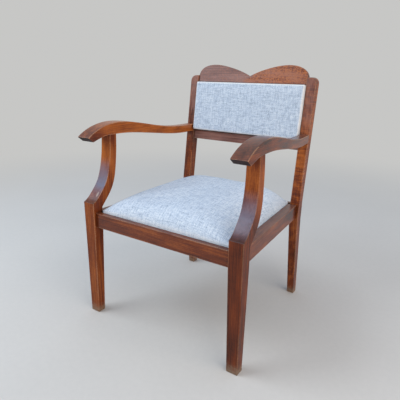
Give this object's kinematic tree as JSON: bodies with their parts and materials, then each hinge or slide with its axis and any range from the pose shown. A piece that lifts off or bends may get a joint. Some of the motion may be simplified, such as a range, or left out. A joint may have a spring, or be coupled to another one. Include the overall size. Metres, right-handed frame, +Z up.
{
  "type": "open armchair",
  "caption": "Low open armchair in dark oak with swept arm posts, scrolled arms, a double-humped crest rail, an upholstered back panel and a domed drop-in seat that lifts out.",
  "frame": {"origin": "on the floor, at the middle of the chair's plan", "axes": "+Z up, -Y the way the chair faces, +X to the right of someone looking at its front"},
  "size_m": [0.576, 0.5543, 0.8033],
  "materials": {
    "dark_oak": "satin varnish over a red-brown stain",
    "plain_wood": "raw planed hardwood",
    "plywood": "raw",
    "stuffing": "soft stuffing",
    "cover_fabric": "woven, pale silver-grey with darker slubs",
    "black_cloth": "thin woven lining",
    "hessian": "open jute weave",
    "webbing": "jute webbing",
    "screw_steel": "plain steel"
  },
  "bodies": {
    "chair_frame": {"front_leg_left": "dark_oak", "front_leg_right": "dark_oak", "rear_post_left": "dark_oak", "rear_post_right": "dark_oak", "front_seat_rail": "dark_oak", "rear_seat_rail": "dark_oak", "side_seat_rail_left": "dark_oak", "side_seat_rail_right": "dark_oak", "crest_rail": "dark_oak", "lower_back_rail": "dark_oak", "arm_left": "dark_oak", "arm_right": "dark_oak", "corner_block_front_left": "plain_wood", "corner_block_front_right": "plain_wood", "corner_block_rear_left": "plain_wood", "corner_block_rear_right": "plain_wood", "seat_rail_dowels": "plain_wood", "back_dowels": "plain_wood", "arm_dowels": "plain_wood", "back_board": "plywood", "back_foam": "stuffing", "back_cover": "cover_fabric", "back_rear_cloth": "black_cloth", "corner_block_screws": "screw_steel", "back_screws": "screw_steel"},
    "drop_in_seat": {"seat_frame_front": "plain_wood", "seat_frame_rear": "plain_wood", "seat_frame_left": "plain_wood", "seat_frame_right": "plain_wood", "seat_frame_dowels": "plain_wood", "seat_webbing_crosswise": "webbing", "seat_webbing_lengthwise": "webbing", "seat_hessian": "hessian", "seat_pad": "stuffing", "seat_cover": "cover_fabric", "seat_bottom_cloth": "black_cloth", "seat_tacks": "screw_steel"}
  },
  "joints": [
    {"name": "seat_lift", "type": "slide", "parent": "chair_frame", "child": "drop_in_seat", "axis": [0, 0, 1], "range_m": [0, 0.3]}
  ]
}
